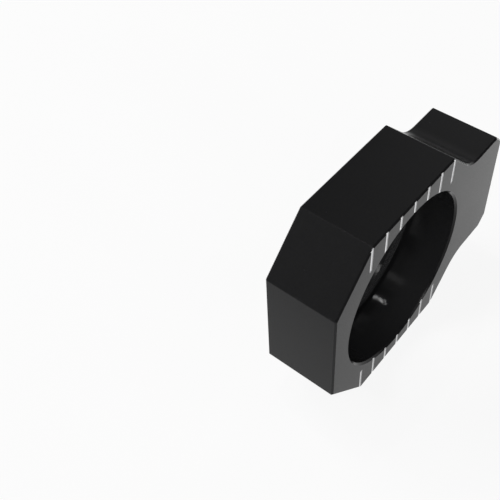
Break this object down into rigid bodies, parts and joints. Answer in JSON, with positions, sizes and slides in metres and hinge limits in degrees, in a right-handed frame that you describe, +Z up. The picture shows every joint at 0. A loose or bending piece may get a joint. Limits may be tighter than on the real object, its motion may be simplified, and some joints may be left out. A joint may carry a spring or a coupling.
{
  "type": "motorcycle chain adjuster",
  "caption": "Machined chain adjuster block with a stepped axle bore, tapered nose, coved tab and index marks along both edges.",
  "frame": {"origin": "on the axle's axis, half way through the block's thickness", "axes": "+X along the swingarm slot from nose to tab, -Y out of the pocket that takes the axle's head, +Z up"},
  "size_m": [0.0517, 0.0138, 0.0392],
  "materials": {
    "black_anodised": "matte black anodised"
  },
  "bodies": {
    "root": {"adjuster_block": "black_anodised"}
  },
  "joints": []
}
